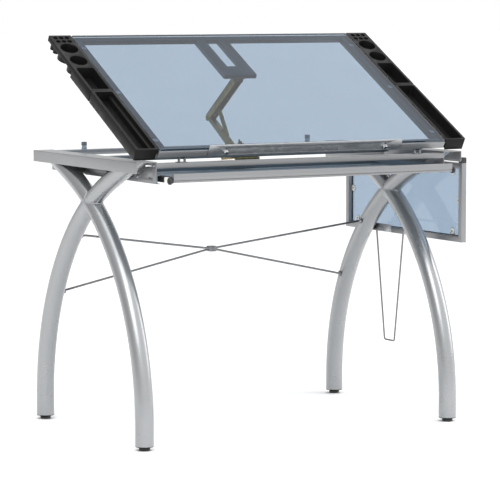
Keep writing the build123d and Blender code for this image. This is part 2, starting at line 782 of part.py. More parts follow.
def lower_arm():
    body = strap(PROP_FOOT, PROP_ELBOW, BAR_HALF, (PROP_X - BAR_HALF, PROP_X + BAR_HALF))
    rack = [on_line(PROP_FOOT, PROP_ELBOW, s, t) for s, t in RACK]
    body += profile_x(rack, (PROP_X - BAR_HALF - 1.6, PROP_X - BAR_HALF))
    for y, z in (PROP_FOOT, PROP_ELBOW):
        body -= through(y, z, PIN_R)
    return body


def stay():
    pivot = arm_yz(*STAY_AT)
    lean = atan2(PROP_ELBOW[1] - PROP_TOP[1], PROP_ELBOW[0] - PROP_TOP[0]) + radians(STAY_ANGLE)
    tip = (pivot[0] + STAY_LENGTH * cos(lean), pivot[1] + STAY_LENGTH * sin(lean))
    span = (PROP_X - 5, PROP_X + 5)
    body = strap(pivot, tip, 3, span) + rod((span[0], *pivot), (span[1], *pivot), 4.5)
    return body - through(*pivot, STAY_PIN_R + RUN)


BASE_IN = 19.5
BASE_OUT = 22.5
SLOT_R = 5.2
EAR = [
    (40, 746), (40, 749.9), (46.5, 749.9), (46.5, 770), (60, 779), (70, 786), (72, 780),
    (82, 791), (84, 785), (93, 796), (96, 786), (112, 770), (124, 757), (125, 748),
    (118, 736), (60, 741.5),
]


def prop_base():
    width = (PROP_X - 39, PROP_X + 39)
    body = block(width, (8, 50), (746, 750)) + block(width, (8, 11), (742, 750))
    for span in prop_x(BASE_IN, BASE_OUT):
        ear = profile_x(EAR, span)
        body += ear - strap(PROP_FOOT, PROP_FOOT_FLAT, SLOT_R, (span[0] - 1, span[1] + 1))
    return body


def foot_pin():
    y, z = PROP_FOOT
    body = pin_x(y, z, BASE_OUT + 0.3, PIN_R, 6.8, 2)
    for span in prop_x(BAR_HALF, BASE_IN - 0.4):
        body += rod((span[0], y, z), (span[1], y, z), 6.5)
    return body


node("prop_upper_arm", upper_arm())
node("prop_lower_arm", lower_arm())
node("prop_stay", stay())
node("prop_base", prop_base())
node("prop_pins", foot_pin(), pin_x(*PROP_ELBOW, ARM_OUT + 0.3, PIN_R, 6.5, 2))


# ---------------------------------------------------------------- side shelf
CLIP_R = 10
CLIP_REACH = 12                     # from the bar to the screw
CLIP_X = (540.4, 542.4)
CLIP_SCREW_R = 2
SHELF_GLASS_X = (542.6, 546.6)
CAP = 16


def shelf_frame():
    (x0, x1), (y0, y1), (z0, z1) = SHELF_X, SHELF_Y, SHELF_Z
    b = SHELF_BAR
    w = 1.5
    body = block((x0, x1), (y0, y1), (z0, z1))
    body -= block((x0 - 1, x1 + 1), (y0 + b, y1 - b), (z0 + b, z1 - b))
    for a in (y0, y1 - b):
        body -= block((x0 + w, x1 - w), (a + w, a + b - w), (z0 + w, z1 + 1))
    for a in (z0, z1 - b):
        body -= block((x0 + w, x1 - w), (y0 + b, y1 - b), (a + w, a + b - w))
    ax, az = SHELF_AXIS
    arm = [
        (x0, z1 - b + 1), (x0, z1 - 2), (ax + 4, az), (ax - 3, az), (ax - 2, az - 6),
        (x0 - 6, z1 - 4), (x0 - 6, z1 - b + 1),
    ]
    for y in SHELF_HINGE_Y:
        body += profile_y(arm, (y - 12, y + 12))
        body += rod((ax, y - 12, az), (ax, y + 12, az), 5)
        body -= rod((ax, y - 13, az), (ax, y + 13, az), 3 + RUN)
    return body


def shelf_hinge(y):
    """Leaf on the rail's outer flange with two knuckles and the pin."""
    ax, az = SHELF_AXIS
    body = block((RAIL_X[1], RAIL_X[1] + 2), (y - 23, y + 23), (739, 763))
    for a, b in ((-20, -12.4), (12.4, 20)):
        body += block((RAIL_X[1] + 1, ax), (y + a, y + b), (az - 2.5, az + 2.5))
        body += rod((ax, y + a, az), (ax, y + b, az), 5)
    return body + rod((ax, y - 21, az), (ax, y + 21, az), 3)


def shelf_cap(y0):
    z = SHELF_Z[1]
    body = block(SHELF_X, (y0, y0 + SHELF_BAR), (z, z + CAP))
    body = fillet(body.faces().sort_by(Axis.Z)[-1].edges(), 1.5)
    plug = 1.7
    return body + block(
        (SHELF_X[0] + plug, SHELF_X[1] - plug), (y0 + plug, y0 + SHELF_BAR - plug), (z - 12, z + 1))


def clip(y, z, facing):
    """Round-ended tab standing on a bar; facing is the YZ direction it points in."""
    tip = (y + facing[0] * CLIP_REACH, z + facing[1] * CLIP_REACH)
    tab = strap((y, z), tip, CLIP_R, CLIP_X)
    tab -= rod((CLIP_X[0] - 1, *tip), (CLIP_X[1] + 1, *tip), CLIP_SCREW_R)
    return tab & block((500, 600), INNER_Y, INNER_Z)


INNER_Y = (SHELF_Y[0] + SHELF_BAR, SHELF_Y[1] - SHELF_BAR)
INNER_Z = (SHELF_Z[0] + SHELF_BAR, SHELF_Z[1] - SHELF_BAR)
CLIPS = [
    clip(INNER_Y[0], 622, (1, 0)), clip(INNER_Y[1], 622, (-1, 0)),
    clip(-205, INNER_Z[0], (0, 1)), clip(300, INNER_Z[0], (0, 1)),
    clip(-205, INNER_Z[1], (0, -1)), clip(300, INNER_Z[1], (0, -1)),
]
shelf_pane = block(
    SHELF_GLASS_X, (INNER_Y[0] + 1, INNER_Y[1] - 1), (INNER_Z[0] + 1, INNER_Z[1] - 1))
node("shelf_frame", shelf_frame())
node("shelf_glass", fillet(shelf_pane.edges().filter_by(Axis.X), 3))
node("shelf_clips", *CLIPS)
node("shelf_caps", shelf_cap(SHELF_Y[0]), shelf_cap(SHELF_Y[1] - SHELF_BAR))
node("shelf_hinges", *[shelf_hinge(y) for y in SHELF_HINGE_Y])

# support bail
EYE_Y = [(12, 21), (179, 188)]


def bail():
    x, z = BAIL_AXIS
    points = [
        (x, EYE_Y[0][0], z), (x, BAIL_Y[0], z), (x, BAIL_FOOT_Y[0], BAIL_FOOT_Z),
        (x, BAIL_FOOT_Y[1], BAIL_FOOT_Z), (x, BAIL_Y[1], z), (x, EYE_Y[1][1], z),
    ]
    path = FilletPolyline(*points, radius=6)
    return sweep(Plane(origin=points[0], z_dir=(0, 1, 0)) * Circle(BAIL_R), path=path)


def bail_eye(y):
    x, z = BAIL_AXIS
    body = block((x - 4.5, SHELF_X[0]), y, (z - 5, z + 5))
    return body - rod((x, y[0] - 1, z), (x, y[1] + 1, z), BAIL_R + RUN)


# seat on the leg for the foot of the bail with the shelf raised
BAIL_LENGTH = BAIL_AXIS[1] - BAIL_FOOT_Z
SEAT_X = LEG_X + LEG_R + 7.5
PIVOT_UP = (SHELF_AXIS[0] + SHELF_AXIS[1] - BAIL_AXIS[1], SHELF_AXIS[1] + BAIL_AXIS[0] - SHELF_AXIS[0])
SEAT_Z = PIVOT_UP[1] - (BAIL_LENGTH ** 2 - (PIVOT_UP[0] - SEAT_X) ** 2) ** 0.5
LEDGE_TOP = SEAT_Z - 2.1


def bail_catch():
    face = LEG_X + LEG_R
    body = block((face, face + 2.5), (70, CATCH_Y + 14), (SEAT_Z - 14, SEAT_Z + 8))
    body += block((face + 2, face + 5.6), BAIL_FOOT_Y, (LEDGE_TOP - 2.5, LEDGE_TOP))
    return body - rod((face - 5, CATCH_Y, CATCH_BOLT_Z), (face + 9, CATCH_Y, CATCH_BOLT_Z), 3)


node("shelf_bail", bail())
node("bail_eyes", *[bail_eye(y) for y in EYE_Y])
node("bail_catch", bail_catch())


# ---------------------------------------------------------------- export
def export():
    os.makedirs(OUT, exist_ok=True)
    move = Pos(-CENTRE_X, -CENTRE_Y, 0)
    for name, shapes in NODES.items():
        solids = [s for shape in shapes for s in shape.solids()]
        moved = [move * s for s in solids]
        shape = moved[0] if len(moved) == 1 else Compound(children=moved)
        export_step(shape, f"{OUT}/{name}.step")
        print(name, len(moved), round(sum(s.volume for s in moved)))


export()
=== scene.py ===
"""Looks of the drafting table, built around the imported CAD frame. Metres, Z up."""
import json
import math
import random

import bmesh
import bpy
import numpy as np
from mathutils import Matrix, Vector


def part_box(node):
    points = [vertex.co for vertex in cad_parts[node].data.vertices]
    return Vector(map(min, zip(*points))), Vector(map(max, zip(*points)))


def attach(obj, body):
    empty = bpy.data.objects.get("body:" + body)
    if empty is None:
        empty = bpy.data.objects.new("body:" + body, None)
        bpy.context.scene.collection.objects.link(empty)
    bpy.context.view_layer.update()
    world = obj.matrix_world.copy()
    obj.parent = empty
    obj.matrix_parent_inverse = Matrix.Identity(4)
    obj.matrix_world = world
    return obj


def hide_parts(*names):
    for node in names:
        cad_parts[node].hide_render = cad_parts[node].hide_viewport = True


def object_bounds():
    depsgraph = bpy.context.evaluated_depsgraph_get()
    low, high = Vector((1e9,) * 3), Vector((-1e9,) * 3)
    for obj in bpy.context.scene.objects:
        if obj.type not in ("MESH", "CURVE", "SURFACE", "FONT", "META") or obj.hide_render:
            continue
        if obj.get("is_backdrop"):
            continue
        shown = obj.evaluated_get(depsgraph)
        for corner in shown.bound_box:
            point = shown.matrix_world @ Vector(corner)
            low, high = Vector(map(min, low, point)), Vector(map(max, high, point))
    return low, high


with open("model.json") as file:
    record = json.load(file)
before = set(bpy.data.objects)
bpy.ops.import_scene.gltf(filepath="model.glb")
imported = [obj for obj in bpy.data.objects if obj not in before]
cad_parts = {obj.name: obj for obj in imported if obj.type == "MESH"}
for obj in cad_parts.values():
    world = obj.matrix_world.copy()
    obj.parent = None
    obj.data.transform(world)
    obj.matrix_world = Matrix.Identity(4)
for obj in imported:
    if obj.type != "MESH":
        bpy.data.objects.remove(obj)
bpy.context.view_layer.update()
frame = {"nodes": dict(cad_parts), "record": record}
nodes = frame["nodes"]
record = frame["record"]
MM = 0.001
X, Y = Vector((1, 0, 0)), Vector((0, 1, 0))


# ------------------------------------------------------------ places, read from the frame
def mount(name):
    found = next(m for m in record["mounts"] if m["name"] == name)
    return Vector(found["pos_m"]), Vector(found["axis"])


surface_middle, surface_normal = mount("work_surface")
TILT = math.atan2(-surface_normal.y, surface_normal.z)
MIDDLE_X = surface_middle.x                       # the table's own centre plane
WORLD = Matrix.Identity(4)
TOP = Matrix.Translation(surface_middle) @ Matrix.Rotation(TILT, 4, "X")


def islands(node, space=WORLD):
    """(lowest, highest) corner of each separate solid of a CAD node, in a local space."""
    bm = bmesh.new()
    bm.from_mesh(nodes[node].data)
    bmesh.ops.remove_doubles(bm, verts=bm.verts, dist=1e-6)
    inverse = space.inverted()
    left = set(bm.verts)
    found = []
    while left:
        stack = [left.pop()]
        group = []
        while stack:
            v = stack.pop()
            group.append(inverse @ v.co)
            for e in v.link_edges:
                other = e.other_vert(v)
                if other in left:
                    left.remove(other)
                    stack.append(other)
        co = np.array(group)
        found.append((Vector(co.min(0)), Vector(co.max(0))))
    bm.free()
    return sorted(found, key=lambda b: [round(c, 4) for c in b[0]])


def middle(box):
    return (box[0] + box[1]) / 2


# ------------------------------------------------------------ materials
def linear(r, g, b):
    """sRGB 0-255 to linear RGBA."""
    def one(c):
        c /= 255
        return c / 12.92 if c <= 0.04045 else ((c + 0.055) / 1.055) ** 2.4
    return (one(r), one(g), one(b), 1)


class Shader:
    """A material with one Principled shader, and short calls for its nodes."""

    def __init__(self, name):
        self.material = bpy.data.materials.new(name)
        self.material.use_nodes = True
        self.tree = self.material.node_tree
        self.tree.nodes.clear()
        self.out = self.node("ShaderNodeOutputMaterial")
        self.bsdf = self.node("ShaderNodeBsdfPrincipled")
        self.link(self.bsdf.outputs[0], self.out.inputs["Surface"])
        self.coords = self.node("ShaderNodeTexCoord").outputs["Object"]

    def node(self, kind, **settings):
        made = self.tree.nodes.new(kind)
        for key, value in settings.items():
            setattr(made, key, value)
        return made

    def link(self, a, b):
        self.tree.links.new(a, b)

    def set(self, **values):
        for key, value in values.items():
            self.bsdf.inputs[key.replace("_", " ")].default_value = value

    def stretched(self, scale):
        mapping = self.node("ShaderNodeMapping")
        mapping.inputs["Scale"].default_value = scale
        self.link(self.coords, mapping.inputs["Vector"])
        return mapping.outputs[0]

    def noise(self, scale, detail=3, rough=0.5, stretch=(1, 1, 1)):
        tex = self.node("ShaderNodeTexNoise")
        tex.inputs["Scale"].default_value = scale
        tex.inputs["Detail"].default_value = detail
        tex.inputs["Roughness"].default_value = rough
        self.link(self.stretched(stretch), tex.inputs["Vector"])
        return tex.outputs["Fac"]

    def spread(self, value, low, high, ends=(0.3, 0.7)):
        """Maps a noise to a number between low and high."""
        ranged = self.node("ShaderNodeMapRange")
        ranged.inputs["From Min"].default_value = ends[0]
        ranged.inputs["From Max"].default_value = ends[1]
        ranged.inputs["To Min"].default_value = low
        ranged.inputs["To Max"].default_value = high
        self.link(value, ranged.inputs["Value"])
        return ranged.outputs[0]

    def ramp(self, value, stops):
        made = self.node("ShaderNodeValToRGB")
        ramp = made.color_ramp
        while len(ramp.elements) < len(stops):
            ramp.elements.new(0.5)
        for element, (place, colour) in zip(ramp.elements, stops):
            element.position = place
            element.color = colour
        self.link(value, made.inputs["Fac"])
        return made.outputs["Color"]

    def times(self, a, b, amount=1.0):
        """Colour a multiplied by b."""
        mix = self.node("ShaderNodeMix", data_type="RGBA", blend_type="MULTIPLY")
        mix.inputs["Factor"].default_value = amount
        self.link(a, mix.inputs["A"])
        self.link(b, mix.inputs["B"])
        return mix.outputs["Result"]

    def bump(self, height, distance, strength=1.0, below=None):
        made = self.node("ShaderNodeBump")
        made.inputs["Distance"].default_value = distance
        made.inputs["Strength"].default_value = strength
        self.link(height, made.inputs["Height"])
        if below:
            self.link(below, made.inputs["Normal"])
        return made.outputs["Normal"]

    def worn_edges(self, radius):
        """1 on sharp edges and 0 elsewhere, from how far the bevelled normal leans."""
        bevel = self.node("ShaderNodeBevel", samples=6)
        bevel.inputs["Radius"].default_value = radius
        plain = self.node("ShaderNodeNewGeometry")
        dot = self.node("ShaderNodeVectorMath", operation="DOT_PRODUCT")
        self.link(bevel.outputs[0], dot.inputs[0])
        self.link(plain.outputs["Normal"], dot.inputs[1])
        return self.spread(dot.outputs["Value"], 1, 0, (0.8, 0.99))


def grey(v):
    return (v, v, v, 1)


def powder_coat(name, colour, metallic=0.55, rough=0.34, fleck=0.05, bump=0.00003):
    s = Shader(name)
    low = tuple(c * 0.975 for c in colour[:3]) + (1,)
    high = tuple(min(1, c * 1.02) for c in colour[:3]) + (1,)
    base = s.ramp(s.noise(5, 3), [(0.3, low), (0.7, high)])
    flakes = s.ramp(s.noise(3200, 2), [(0.35, grey(1 - fleck)), (0.65, grey(1.0))])
    s.link(s.times(base, flakes), s.bsdf.inputs["Base Color"])
    s.link(s.spread(s.noise(9, 3), rough - 0.015, rough + 0.025), s.bsdf.inputs["Roughness"])
    peel = s.bump(s.noise(900, 2), bump, 0.05)
    s.link(s.bump(s.noise(2600, 1), bump * 0.3, 0.05, peel), s.bsdf.inputs["Normal"])
    s.set(Metallic=metallic, Coat_Weight=0.25, Coat_Roughness=0.18)
    return s.material


def plated(name, colour, tints, rough=0.28, streaks=(1, 1, 1), metallic=1.0, lines_low=0.88):
    """Zinc plating: a metal with cloudy colour and fine drawing lines."""
    s = Shader(name)
    cloud = s.ramp(s.noise(60, 5, 0.6), [(0.3, tints[0]), (0.5, colour), (0.7, tints[1])])
    lines = s.noise(500, 3, 0.6, streaks)
    drawn = s.ramp(lines, [(0.3, grey(lines_low)), (0.7, grey(1))])
    s.link(s.times(cloud, drawn), s.bsdf.inputs["Base Color"])
    s.link(s.spread(s.noise(90, 4), rough - 0.06, rough + 0.12), s.bsdf.inputs["Roughness"])
    s.link(s.bump(lines, 0.00003, 0.35), s.bsdf.inputs["Normal"])
    s.set(Metallic=metallic)
    return s.material


def moulded(name, colour, rough=0.42, grain=1500, depth=0.00006, polish=0.08, specular=0.5):
    """Moulded plastic with a spark-eroded grain and rubbed edges."""
    s = Shader(name)
    pale = tuple(min(1, c * 1.6 + 0.012) for c in colour[:3]) + (1,)
    cloud = s.ramp(s.noise(14, 4), [(0.3, colour), (0.75, tuple(c * 1.15 for c in colour[:3]) + (1,))])
    edge = s.worn_edges(0.8 * MM)
    mix = s.node("ShaderNodeMix", data_type="RGBA")
    s.link(edge, mix.inputs["Factor"])
    s.link(cloud, mix.inputs["A"])
    mix.inputs["B"].default_value = pale
    s.link(mix.outputs["Result"], s.bsdf.inputs["Base Color"])
    s.link(s.spread(s.noise(35, 4), rough - polish, rough + polish), s.bsdf.inputs["Roughness"])
    s.link(s.bump(s.noise(grain, 3, 0.6), depth, 0.4), s.bsdf.inputs["Normal"])
    s.set(Specular_IOR_Level=specular)
    return s.material


GLASS_FACING_SHARE = 0.04           # mirror share of glass seen square on
GLASS_MIRROR = (0.93, 0.96, 1, 1)


def tinted_glass(name, colour, rough=0.015):
    """Polished glass: tinted see-through, mirror at grazing angles, faint smears."""
    s = Shader(name)
    s.tree.nodes.remove(s.bsdf)
    clear = s.node("ShaderNodeBsdfTransparent")
    low = tuple(c * 0.985 for c in colour[:3]) + (1,)
    s.link(s.ramp(s.noise(5, 3), [(0.3, low), (0.7, colour)]), clear.inputs["Color"])
    gloss = s.node("ShaderNodeBsdfGlossy")
    gloss.inputs["Color"].default_value = GLASS_MIRROR
    s.link(s.spread(s.noise(16, 5, 0.65), rough * 0.4, rough * 2.2), gloss.inputs["Roughness"])
    # Schlick's mirror share, on the side that faces out only
    weight = s.node("ShaderNodeLayerWeight")
    weight.inputs["Blend"].default_value = 0.5
    fifth = s.node("ShaderNodeMath", operation="POWER")
    fifth.inputs[1].default_value = 5
    s.link(weight.outputs["Facing"], fifth.inputs[0])
    share = s.spread(fifth.outputs[0], GLASS_FACING_SHARE, 1, (0, 1))
    side = s.node("ShaderNodeNewGeometry")
    outside = s.spread(side.outputs["Backfacing"], 1, 0, (0, 1))
    front = s.node("ShaderNodeMath", operation="MULTIPLY")
    s.link(share, front.inputs[0])
    s.link(outside, front.inputs[1])
    mix = s.node("ShaderNodeMixShader")
    s.link(front.outputs[0], mix.inputs[0])
    s.link(clear.outputs[0], mix.inputs[1])
    s.link(gloss.outputs[0], mix.inputs[2])
    s.link(mix.outputs[0], s.out.inputs["Surface"])
    return s.material


SILVER = powder_coat("silver_powder_coat", linear(138, 139, 141), metallic=0.6)
SILVER_LEG = powder_coat("silver_leg_coat", linear(158, 160, 162), metallic=0.8, rough=0.28)
# darker copy of the silver paint: painted shade for the tubes under the glass and for the lift bracket
SILVER_SHADED = powder_coat("silver_coat_painted_shade", linear(84, 89, 92), metallic=0.5)
# dark blue-grey for the drawer's pan and tracks: painted shade on their silver-painted steel, which sits in
# shadow under the base
DRAWER_SHADE = powder_coat("drawer_painted_shade", linear(98, 112, 122), metallic=0.3, rough=0.4)
BRIGHT = plated("bright_zinc", linear(176, 178, 182), (linear(160, 163, 168), linear(190, 191, 194)))
CHROME = plated("polished_screw", linear(205, 206, 209), (linear(196, 198, 202), linear(214, 215, 218)), 0.12)
YELLOW = plated(
    "yellow_zinc", linear(140, 126, 88), (linear(112, 110, 92), linear(164, 142, 84)), 0.34, (1, 6, 6))
WELD = plated("weld_bead", linear(178, 181, 185), (linear(165, 168, 172), linear(188, 190, 194)), 0.42)
STEEL = plated("hinge_steel", linear(120, 122, 126), (linear(104, 107, 111), linear(138, 140, 143)), 0.3)
ROD = plated("rod_steel", linear(128, 129, 131), (linear(118, 119, 122), linear(138, 139, 141)), 0.36)
ALUMINIUM = plated(
    "satin_aluminium", linear(172, 174, 176), (linear(168, 170, 172), linear(176, 178, 180)), 0.36,
    (0.02, 3, 3), lines_low=0.95)
TRAY = moulded("tray_plastic", linear(19, 20, 19), rough=0.38, grain=1300, depth=0.00003, specular=0.12)
BLACK = moulded("black_plastic", linear(30, 30, 32), rough=0.45)
PEG = moulded("peg_rubber", linear(92, 98, 104), rough=0.5, grain=700)
NYLON = moulded("white_nylon", linear(214, 214, 210), rough=0.35, grain=900, depth=0.00003)
PAD = moulded("clear_pad", linear(84, 98, 110), rough=0.3, grain=600, depth=0.00003)
BUMPER = moulded("clear_bumper", linear(150, 165, 178), rough=0.25, grain=600, depth=0.00003)
GASKET = moulded("seal_rubber", linear(52, 56, 60), rough=0.55, grain=900)
GLASS = tinted_glass("blue_glass", (0.560, 0.635, 0.712, 1))
# opaque dark edge faces: painted shade standing in for the dark look that refraction and internal reflection
# give glass edges
GLASS_EDGE_SHADE = moulded("glass_edge_painted_shade", linear(22, 36, 46), rough=0.12, grain=300, depth=0.00002, specular=0.8)
SHELF_GLASS = tinted_glass("blue_shelf_glass", (0.565, 0.640, 0.720, 1))


# ------------------------------------------------------------ mesh helpers
def piece(name, bm, body, material, replaces=(), angle=32, more=()):
    """Turns a bmesh into an object that rides on a body."""
    bmesh.ops.recalc_face_normals(bm, faces=bm.faces)
    mesh = bpy.data.meshes.new(name)
    bm.to_mesh(mesh)
    bm.free()
    for m in (material, *more):
        mesh.materials.append(m)
    mesh.shade_smooth()
    mesh.set_sharp_from_angle(angle=math.radians(angle))
    obj = bpy.data.objects.new(name, mesh)
    bpy.context.scene.collection.objects.link(obj)
    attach(obj, body)
    if replaces:
        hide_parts(*replaces)
    return obj


def dress(node, material, bevel=0.0, angle=32):
    """Gives a CAD node its material, and softens its edges where a bevel is given."""
    obj = nodes[node]
    obj.data.materials.clear()
    obj.data.materials.append(material)
    weld = obj.modifiers.new("weld", "WELD")
    weld.merge_threshold = 2e-6
    if bevel:
        soft = obj.modifiers.new("soft_edges", "BEVEL")
        soft.width = bevel
        soft.segments = 2
        soft.limit_method = "ANGLE"
        soft.angle_limit = math.radians(angle)
        soft.use_clamp_overlap = True
        soft.harden_normals = False
    obj.data.shade_smooth()
    obj.data.set_sharp_from_angle(angle=math.radians(angle))


def ring(bm, points):
    return [bm.verts.new(p) for p in points]


def skin(bm, rings, loop=False):
    """Faces between rings of equal length; the ends are closed unless the rings make a loop."""
    following = rings[1:] + rings[:1] if loop else rings[1:]
    for a, b in zip(rings, following):
        n = len(a)
        for i in range(n):
            bm.faces.new((a[i], a[(i + 1) % n], b[(i + 1) % n], b[i]))
    if not loop:
        bm.faces.new(list(reversed(rings[0])))
        bm.faces.new(rings[-1])


def circle(r, steps):
    """(x, y) of evenly spaced points on a circle."""
    return [(r * math.cos(a), r * math.sin(a)) for a in (2 * math.pi * k / steps for k in range(steps))]


def frame_of(origin, axis):
    """Matrix whose Z is the axis, standing at the origin."""
    return Matrix.Translation(origin) @ Vector(axis).to_track_quat("Z", "Y").to_matrix().to_4x4()


TIP_RADIUS = 0.01 * MM              # of a revolved point that lies on the axis


def lathe(bm, place, profile, segments=48, loop=False):
    """Revolves (radius, height) points about the local Z of a place; a loop leaves a bore."""
    rings = [
        ring(bm, [place @ Vector((x, y, h)) for x, y in circle(max(r, TIP_RADIUS), segments)])
        for r, h in profile
    ]
    skin(bm, rings, loop=loop)


def rounded(u0, u1, w0, w1, r, steps=4):
    """Rounded rectangle outline."""
    points = []
    corners = ((u1 - r, w1 - r, 0), (u0 + r, w1 - r, 90), (u0 + r, w0 + r, 180), (u1 - r, w0 + r, 270))
    for cu, cw, start in corners:
        for k in range(steps + 1):
            a = math.radians(start + 90 * k / steps)
            points.append((cu + r * math.cos(a), cw + r * math.sin(a)))
    return points


ACROSS = {0: (1, 2), 1: (0, 2), 2: (0, 1)}      # the two local axes across each one


def prism(bm, space, axis, outline, start, end, lip=0.3 * MM):
    """Extrudes an outline along a local axis with a small chamfer at both ends."""
    first, second = ACROSS[axis]
    cu = sum(p[0] for p in outline) / len(outline)
    cw = sum(p[1] for p in outline) / len(outline)
    size_u = max(p[0] for p in outline) - min(p[0] for p in outline)
    size_w = max(p[1] for p in outline) - min(p[1] for p in outline)

    def points(level, shrink):
        made = []
        for u, w in outline:
            su = cu + (u - cu) * (1 - 2 * shrink / size_u)
            sw = cw + (w - cw) * (1 - 2 * shrink / size_w)
            v = Vector((0, 0, 0))
            v[first], v[second], v[axis] = su, sw, level
            made.append(space @ v)
        return made

    skin(bm, [
        ring(bm, points(start, lip)), ring(bm, points(start + lip, 0)),
        ring(bm, points(end - lip, 0)), ring(bm, points(end, lip)),
    ])


def bar(name, node, body, material, axis, radius, space=WORLD):
    """Replaces a box-shaped tube of the CAD by one with folded corners."""
    u, w = ACROSS[axis]
    bm = bmesh.new()
    for low, high in islands(node, space):
        outline = rounded(low[u], high[u], low[w], high[w], radius)
        prism(bm, space, axis, outline, low[axis], high[axis])
    return piece(name, bm, body, material, [node])


def wire(bm, points, radius, segments=14, loop=False):
    """Tube along a line of points, with its section carried along without twist."""
    points = [Vector(p) for p in points]
    n = len(points)
    tangents = []
    for i in range(n):
        a = points[i - 1] if (i or loop) else points[i]
        b = points[(i + 1) % n] if (i < n - 1 or loop) else points[i]
        tangents.append((b - a).normalized())
    side = tangents[0].orthogonal().normalized()
    rings = []
    for p, t in zip(points, tangents):
        side = (side - t * side.dot(t)).normalized()
        up = t.cross(side)
        rings.append(ring(bm, [p + u * side + w * up for u, w in circle(radius, segments)]))
    skin(bm, rings, loop=loop)


def smooth_corners(points, radius, steps=8):
    """A polyline with its inner corners rounded."""
    points = [Vector(p) for p in points]
    made = [points[0]]
    for a, b, c in zip(points, points[1:], points[2:]):
        into, out = (a - b).normalized(), (c - b).normalized()
        p, q = b + into * radius, b + out * radius
        for k in range(steps + 1):
            t = k / steps
            made.append(p * (1 - t) ** 2 + b * 2 * t * (1 - t) + q * t ** 2)
    return made + [points[-1]]


# ------------------------------------------------------------ bolts and screws
def hexagon(bm, place, corner, low, high, chamfer):
    """Hexagonal prism with chamfered ends; corner is the distance from axis to corner."""
    def points(r, h):
        return [place @ Vector((x, y, h)) for x, y in circle(r, 6)]

    skin(bm, [
        ring(bm, points(corner - chamfer, low)), ring(bm, points(corner, low + chamfer)),
        ring(bm, points(corner, high - chamfer)), ring(bm, points(corner - chamfer, high)),
    ])


def socket_head(bm, place, r, height, socket):
    """Button head with a hexagonal socket, standing on the local XY plane."""
    steps = 48

    def level(radius, h):
        return ring(bm, [place @ Vector((x, y, h)) for x, y in circle(radius, steps)])

    def hexed(h):
        made = []
        for k in range(steps):
            a = 2 * math.pi * k / steps
            nearest = (a + math.pi / 6) % (math.pi / 3) - math.pi / 6
            rad = socket * math.cos(math.pi / 6) / math.cos(nearest)
            made.append(place @ Vector((rad * math.cos(a), rad * math.sin(a), h)))
        return ring(bm, made)

    rings = [level(r, 0), level(r, height * 0.35)]
    for k in (0.55, 0.75, 0.92):
        rings.append(level(r * (1 - 0.32 * k ** 3), height * (0.35 + 0.65 * k)))
    rings += [level(socket + 0.5 * MM, height), hexed(height), hexed(height * 0.35)]
    skin(bm, rings)


LONGEST_BOLT = 20 * MM              # the brace clamp, in the same node as the bolts, is longer
SHORT_BOLT = 13 * MM


def bolts(name, node, toward):
    """Socket-head bolts along X in place of plain ones; toward gives the side of each head."""
    bm = bmesh.new()
    for low, high in islands(node):
        if high.x - low.x > LONGEST_BOLT:
            continue
        c = middle((low, high))
        side = toward(c)
        reach = high.x if side > 0 else low.x
        r = (high.z - low.z) / 2
        head = 2.8 * MM if high.x - low.x < SHORT_BOLT else 3.5 * MM
        place = frame_of((reach - side * head, c.y, c.z), (side, 0, 0))
        socket_head(bm, place, r, head, r * 0.42)
        far = low.x if side > 0 else high.x
        shank = frame_of((far, c.y, c.z), (side, 0, 0))
        length = abs(reach - far) - head
        lathe(bm, shank, [(0, 0), (r * 0.45, 0.0002), (r * 0.5, 0.0006), (r * 0.5, length)], 24)
    return piece(name, bm, "frame", BRIGHT, [node])


# ------------------------------------------------------------ legs
LEG_RADIUS = 25 * MM
BEND = 705 * MM                     # bend radius
CENTRES_APART = 400 * MM            # of each bend's centre from the crossing plane
BEND_START = 60 * MM                # height above the floor
SWEEP = math.radians(66)
leg_box = {side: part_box(f"leg_{side}_through") for side in ("left", "right")}
leg_x = {side: middle(leg_box[side]).x for side in leg_box}
CROSS_Y = (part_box("leg_left_lower")[1].y + leg_box["left"][0].y) / 2
LEG_FLOOR = leg_box["left"][0].z
LEG_TOP = leg_box["left"][1].z


def leg_meet(rho, sigma):
    """Angle along a bend of radius rho where it meets the other leg's bend of radius sigma."""
    across = (rho ** 2 - sigma ** 2) / (4 * CENTRES_APART)
    return math.acos((CENTRES_APART + across) / rho)


def leg_curve(rho, side, phi=None, up=None):
    """Point on a leg's offset line: side +1 has its foot at the back."""
    if up is not None:
        start = leg_curve(rho, side, phi=SWEEP)
        run = (up - start.z) / math.cos(SWEEP)
        return start + run * Vector((0, -side * math.sin(SWEEP), math.cos(SWEEP)))
    y = -CENTRES_APART + rho * math.cos(phi)
    return Vector((0, CROSS_Y + side * y, BEND_START + rho * math.sin(phi)))


def leg(name, side_name, side, part, segments=96, rows=90):
    """One length of bent tube in place of the CAD's; part is through, lower or upper."""
    columns = []
    for k in range(segments):
        a = 2 * math.pi * k / segments
        rho = BEND + LEG_RADIUS * math.cos(a)
        x = leg_x[side_name] + LEG_RADIUS * math.sin(a)
        half = abs(LEG_RADIUS * math.cos(a))
        start, end = 0.0, SWEEP
        if part == "lower":
            end = leg_meet(rho, BEND - half)
        if part == "upper":
            start = leg_meet(rho, BEND + half)
        line = []
        if part != "upper":
            foot = leg_curve(rho, side, phi=0)
            line.append(Vector((0, foot.y, LEG_FLOOR)))
        for i in range(rows + 1):
            line.append(leg_curve(rho, side, phi=start + (end - start) * i / rows))
        if part != "lower":
            line.append(leg_curve(rho, side, up=LEG_TOP))
        columns.append([Vector((x, p.y, p.z)) for p in line])
    bm = bmesh.new()
    rings = [ring(bm, [c[i] for c in columns]) for i in range(len(columns[0]))]
    skin(bm, rings)
    for f in [f for f in bm.faces if len(f.verts) > 4]:
        bmesh.ops.poke(bm, faces=[f])
    return piece(name, bm, "frame", SILVER_LEG, [f"leg_{side_name}_{part}"], angle=50)


WELD_RADIUS = 1.6 * MM
WELD_RIPPLE = 0.12 * MM


